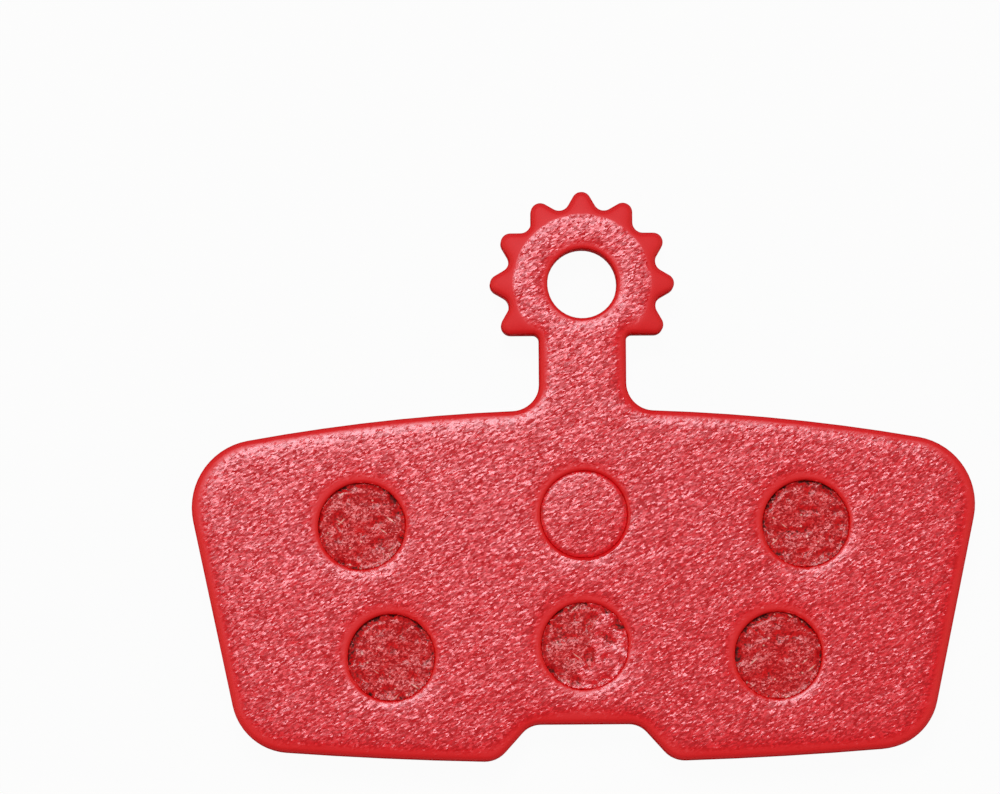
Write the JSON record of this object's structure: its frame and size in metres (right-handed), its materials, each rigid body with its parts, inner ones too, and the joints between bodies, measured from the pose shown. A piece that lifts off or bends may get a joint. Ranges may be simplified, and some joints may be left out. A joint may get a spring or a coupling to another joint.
{
  "type": "bicycle disc brake pad",
  "caption": "Flat disc brake pad: a red painted steel backing plate with a toothed retaining tab, and a friction block moulded through round keying holes.",
  "frame": {"origin": "on the surface the pad lies on, under the middle of its outline; the friction face is at Z = 0", "axes": "+X across the pad, +Y towards the retaining tab, +Z out of the painted back"},
  "size_m": [0.045, 0.0328, 0.004],
  "materials": {
    "painted_steel": "textured gloss red powder coat on the back and edges, dark speckled maroon on the friction side",
    "friction_compound": "matt resin-bonded friction compound with fine mixed grains; red paint on the plug ends"
  },
  "bodies": {
    "root": {"backing_plate": "painted_steel", "friction_block": "friction_compound"}
  },
  "joints": []
}
